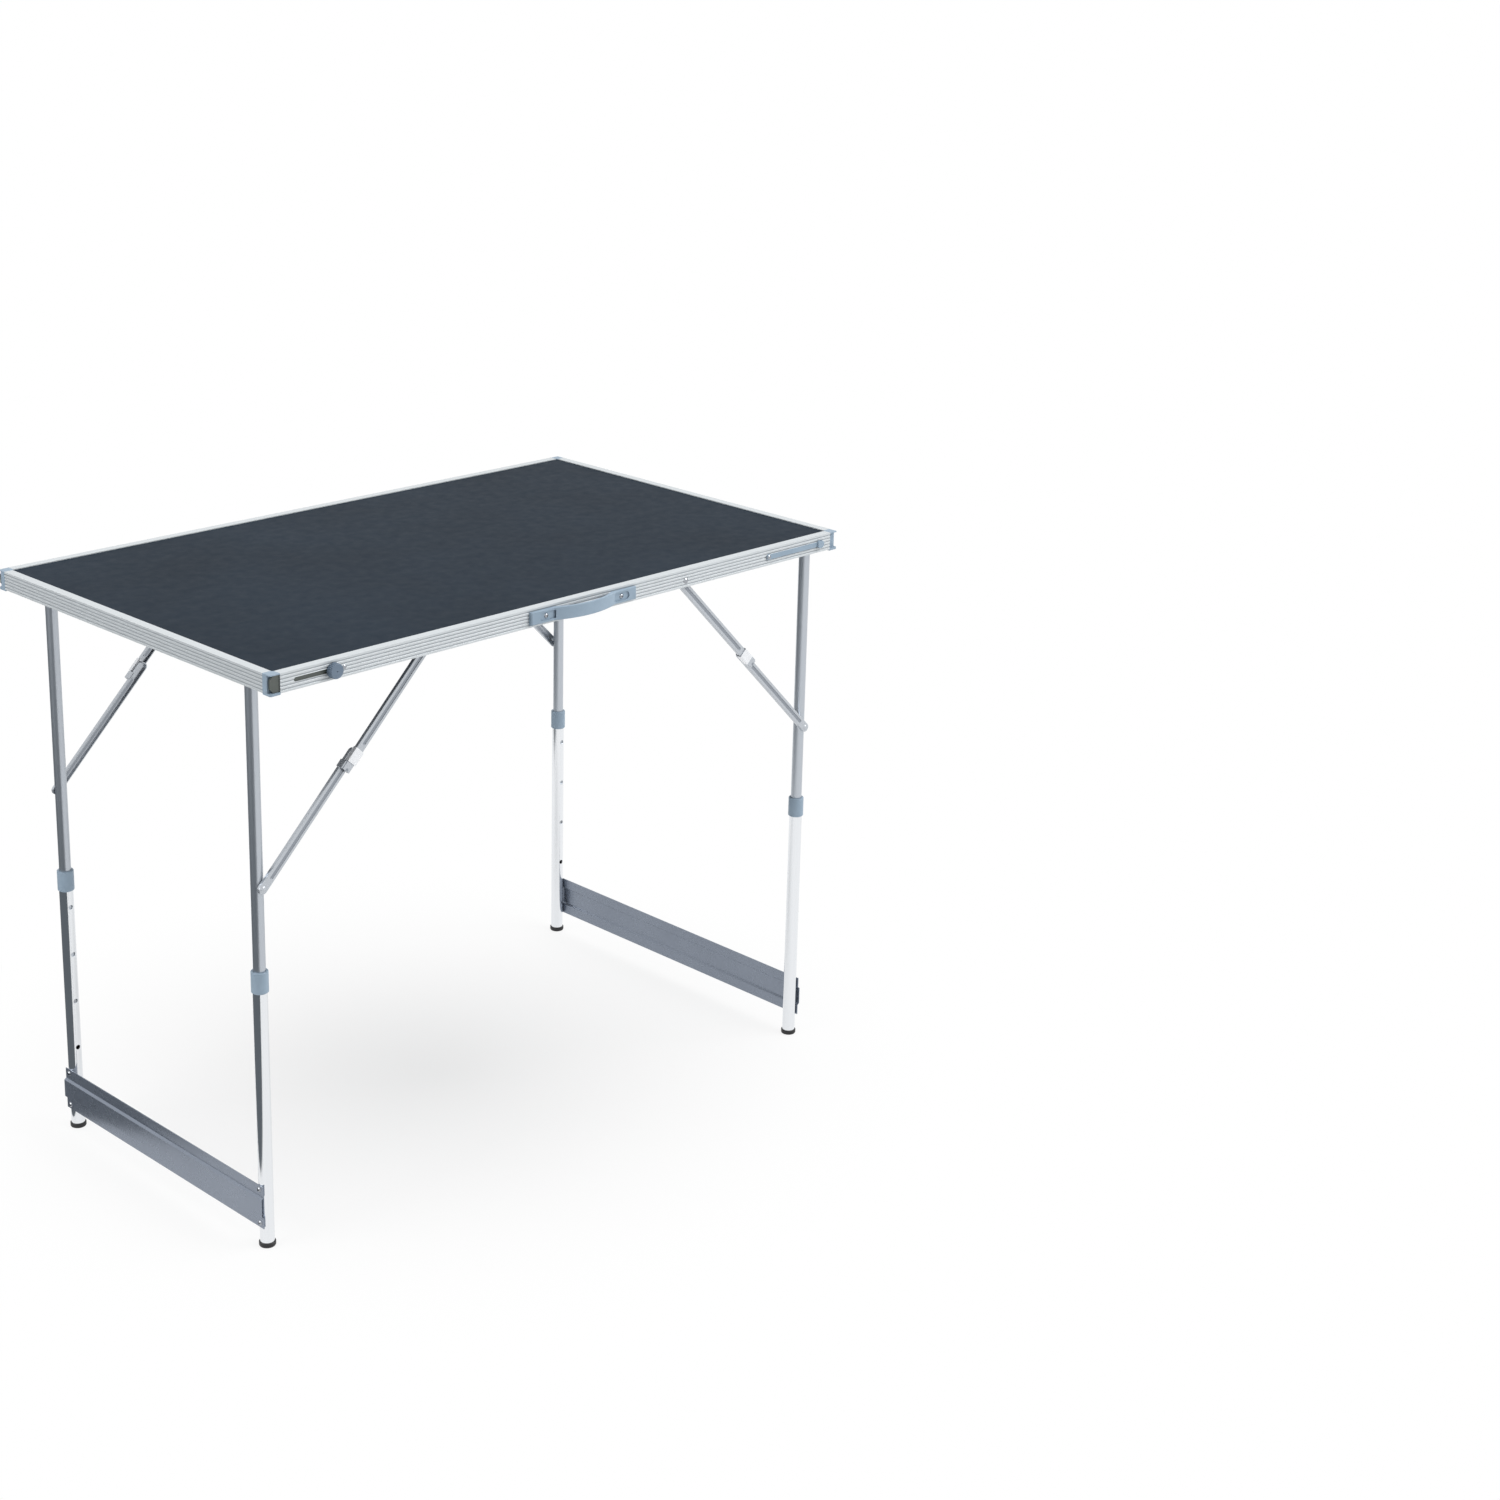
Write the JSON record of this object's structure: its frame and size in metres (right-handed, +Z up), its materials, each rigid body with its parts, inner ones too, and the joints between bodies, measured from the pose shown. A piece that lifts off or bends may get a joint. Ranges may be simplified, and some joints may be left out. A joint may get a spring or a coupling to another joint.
{
  "type": "folding pasting table",
  "caption": "Folding pasting table with an aluminium-framed dark top, height-adjustable tubular legs, hinged braces and slide-out connectors for joining tables in line.",
  "frame": {"origin": "on the floor, under the middle of the table top", "axes": "+X right along the front rail, +Y from the handle side to the rear, +Z up"},
  "size_m": [1, 0.6264, 0.8],
  "materials": {
    "panel": "dark laminate",
    "rail": "satin anodised",
    "plastic": "moulded blue-grey",
    "connector": "dark olive",
    "bright_tube": "polished",
    "grey_tube": "satin grey",
    "crossbar": "satin",
    "link": "zinc plated",
    "bright_steel": "nickel plated",
    "foot": "black"
  },
  "bodies": {
    "table": {"panel": "panel", "front_rail": "rail", "rear_rail": "rail", "left_rail": "rail", "right_rail": "rail", "front_left_cap": "plastic", "front_right_cap": "plastic", "rear_left_cap": "plastic", "rear_right_cap": "plastic", "carry_handle": "plastic", "handle_screws": "bright_steel", "front_anchor_tab": "link", "rear_anchor_tab": "link", "table_fasteners": "bright_steel", "front_left_hinge_bracket": "link", "rear_left_hinge_bracket": "link", "front_right_hinge_bracket": "link", "rear_right_hinge_bracket": "link"},
    "left_leg_frame": {"left_hinge_rod": "link", "front_left_upper_leg": "grey_tube", "rear_left_upper_leg": "grey_tube"},
    "left_foot_frame": {"left_crossbar": "crossbar", "left_crossbar_screws": "bright_steel", "left_leg_collars": "plastic", "left_feet": "foot", "front_left_lower_leg": "bright_tube", "rear_left_lower_leg": "bright_tube"},
    "front_left_button": {"front_left_spring_button": "bright_steel"},
    "front_left_top_link": {"front_left_upper_brace": "link"},
    "front_left_leg_link": {"front_left_lower_brace": "link"},
    "front_left_sleeve": {"front_left_lock_sleeve": "bright_steel"},
    "rear_left_button": {"rear_left_spring_button": "bright_steel"},
    "rear_left_top_link": {"rear_left_upper_brace": "link"},
    "rear_left_leg_link": {"rear_left_lower_brace": "link"},
    "rear_left_sleeve": {"rear_left_lock_sleeve": "bright_steel"},
    "right_leg_frame": {"right_hinge_rod": "link", "front_right_upper_leg": "grey_tube", "rear_right_upper_leg": "grey_tube"},
    "right_foot_frame": {"right_crossbar": "crossbar", "right_crossbar_screws": "bright_steel", "right_leg_collars": "plastic", "right_feet": "foot", "front_right_lower_leg": "bright_tube", "rear_right_lower_leg": "bright_tube"},
    "front_right_button": {"front_right_spring_button": "bright_steel"},
    "front_right_top_link": {"front_right_upper_brace": "link"},
    "front_right_leg_link": {"front_right_lower_brace": "link"},
    "front_right_sleeve": {"front_right_lock_sleeve": "bright_steel"},
    "rear_right_button": {"rear_right_spring_button": "bright_steel"},
    "rear_right_top_link": {"rear_right_upper_brace": "link"},
    "rear_right_leg_link": {"rear_right_lower_brace": "link"},
    "rear_right_sleeve": {"rear_right_lock_sleeve": "bright_steel"},
    "front_connector": {"front_connector_bar": "connector"},
    "front_knob": {"front_clamping_knob": "plastic"},
    "front_catch": {"front_spring_catch": "plastic"},
    "rear_connector": {"rear_connector_bar": "connector"},
    "rear_knob": {"rear_clamping_knob": "plastic"},
    "rear_catch": {"rear_spring_catch": "plastic"}
  },
  "joints": [
    {"name": "left_frame_fold", "type": "hinge", "parent": "table", "child": "left_leg_frame", "pos_m": [-0.471, 0, 0.779], "axis": [0, -1, 0], "range_deg": [0, 90]},
    {"name": "left_height_slide", "type": "slide", "parent": "left_leg_frame", "child": "left_foot_frame", "axis": [0, 0, -1], "range_m": [-0.07, 0.14]},
    {"name": "front_left_button_press", "type": "slide", "parent": "left_leg_frame", "child": "front_left_button", "axis": [0, -1, 0], "range_m": [0, 0.003], "stiffness_N_per_m": 800},
    {"name": "front_left_brace_anchor", "type": "hinge", "parent": "table", "child": "front_left_top_link", "pos_m": [-0.1915, -0.221, 0.784], "axis": [0, -1, 0], "range_deg": [-44.89, 0]},
    {"name": "front_left_brace_knee", "type": "hinge", "parent": "front_left_top_link", "child": "front_left_leg_link", "pos_m": [-0.33125, -0.221, 0.64175], "axis": [0, -1, 0], "range_deg": [0, 178.66]},
    {"name": "front_left_sleeve_slide", "type": "slide", "parent": "front_left_top_link", "child": "front_left_sleeve", "axis": [0.7008, 0, 0.7133], "range_m": [0, 0.04]},
    {"name": "rear_left_button_press", "type": "slide", "parent": "left_leg_frame", "child": "rear_left_button", "axis": [0, 1, 0], "range_m": [0, 0.003], "stiffness_N_per_m": 800},
    {"name": "rear_left_brace_anchor", "type": "hinge", "parent": "table", "child": "rear_left_top_link", "pos_m": [-0.1915, 0.221, 0.784], "axis": [0, -1, 0], "range_deg": [-44.89, 0]},
    {"name": "rear_left_brace_knee", "type": "hinge", "parent": "rear_left_top_link", "child": "rear_left_leg_link", "pos_m": [-0.33125, 0.221, 0.64175], "axis": [0, -1, 0], "range_deg": [0, 178.66]},
    {"name": "rear_left_sleeve_slide", "type": "slide", "parent": "rear_left_top_link", "child": "rear_left_sleeve", "axis": [0.7008, 0, 0.7133], "range_m": [0, 0.04]},
    {"name": "right_frame_fold", "type": "hinge", "parent": "table", "child": "right_leg_frame", "pos_m": [0.471, 0, 0.779], "axis": [0, 1, 0], "range_deg": [0, 83]},
    {"name": "right_height_slide", "type": "slide", "parent": "right_leg_frame", "child": "right_foot_frame", "axis": [0, 0, -1], "range_m": [-0.07, 0.14]},
    {"name": "front_right_button_press", "type": "slide", "parent": "right_leg_frame", "child": "front_right_button", "axis": [0, -1, 0], "range_m": [0, 0.003], "stiffness_N_per_m": 800},
    {"name": "front_right_brace_anchor", "type": "hinge", "parent": "table", "child": "front_right_top_link", "pos_m": [0.1915, -0.26375, 0.784], "axis": [0, 1, 0], "range_deg": [-43.03, 0]},
    {"name": "front_right_brace_knee", "type": "hinge", "parent": "front_right_top_link", "child": "front_right_leg_link", "pos_m": [0.33125, -0.26375, 0.64175], "axis": [0, 1, 0], "range_deg": [0, 168.84]},
    {"name": "front_right_sleeve_slide", "type": "slide", "parent": "front_right_top_link", "child": "front_right_sleeve", "axis": [-0.7008, 0, 0.7133], "range_m": [0, 0.04]},
    {"name": "rear_right_button_press", "type": "slide", "parent": "right_leg_frame", "child": "rear_right_button", "axis": [0, 1, 0], "range_m": [0, 0.003], "stiffness_N_per_m": 800},
    {"name": "rear_right_brace_anchor", "type": "hinge", "parent": "table", "child": "rear_right_top_link", "pos_m": [0.1915, 0.26375, 0.784], "axis": [0, 1, 0], "range_deg": [-43.03, 0]},
    {"name": "rear_right_brace_knee", "type": "hinge", "parent": "rear_right_top_link", "child": "rear_right_leg_link", "pos_m": [0.33125, 0.26375, 0.64175], "axis": [0, 1, 0], "range_deg": [0, 168.84]},
    {"name": "rear_right_sleeve_slide", "type": "slide", "parent": "rear_right_top_link", "child": "rear_right_sleeve", "axis": [-0.7008, 0, 0.7133], "range_m": [0, 0.04]},
    {"name": "front_connector_slide", "type": "slide", "parent": "table", "child": "front_connector", "axis": [-1, 0, 0], "range_m": [0, 0.054]},
    {"name": "front_knob_turn", "type": "hinge", "parent": "front_connector", "child": "front_knob", "pos_m": [-0.408, -0.3, 0.7875], "axis": [0, 1, 0], "range_deg": [0, 180]},
    {"name": "front_catch_lift", "type": "hinge", "parent": "table", "child": "front_catch", "pos_m": [0.355, -0.301, 0.7875], "axis": [0, 0, -1], "range_deg": [0, 3], "stiffness_Nm_per_rad": 6},
    {"name": "rear_connector_slide", "type": "slide", "parent": "table", "child": "rear_connector", "axis": [-1, 0, 0], "range_m": [0, 0.054]},
    {"name": "rear_knob_turn", "type": "hinge", "parent": "rear_connector", "child": "rear_knob", "pos_m": [-0.408, 0.3, 0.7875], "axis": [0, -1, 0], "range_deg": [0, 180]},
    {"name": "rear_catch_lift", "type": "hinge", "parent": "table", "child": "rear_catch", "pos_m": [0.355, 0.301, 0.7875], "axis": [0, 0, 1], "range_deg": [0, 3], "stiffness_Nm_per_rad": 6}
  ],
  "couplings": [
    {"joint": "front_left_brace_anchor", "follows": "left_frame_fold", "ratio": -0.49766},
    {"joint": "front_left_brace_knee", "follows": "left_frame_fold", "ratio": 1.984},
    {"joint": "rear_left_brace_anchor", "follows": "left_frame_fold", "ratio": -0.49766},
    {"joint": "rear_left_brace_knee", "follows": "left_frame_fold", "ratio": 1.984},
    {"joint": "front_right_brace_anchor", "follows": "right_frame_fold", "ratio": -0.51725},
    {"joint": "front_right_brace_knee", "follows": "right_frame_fold", "ratio": 2.033},
    {"joint": "rear_right_brace_anchor", "follows": "right_frame_fold", "ratio": -0.51725},
    {"joint": "rear_right_brace_knee", "follows": "right_frame_fold", "ratio": 2.033}
  ]
}
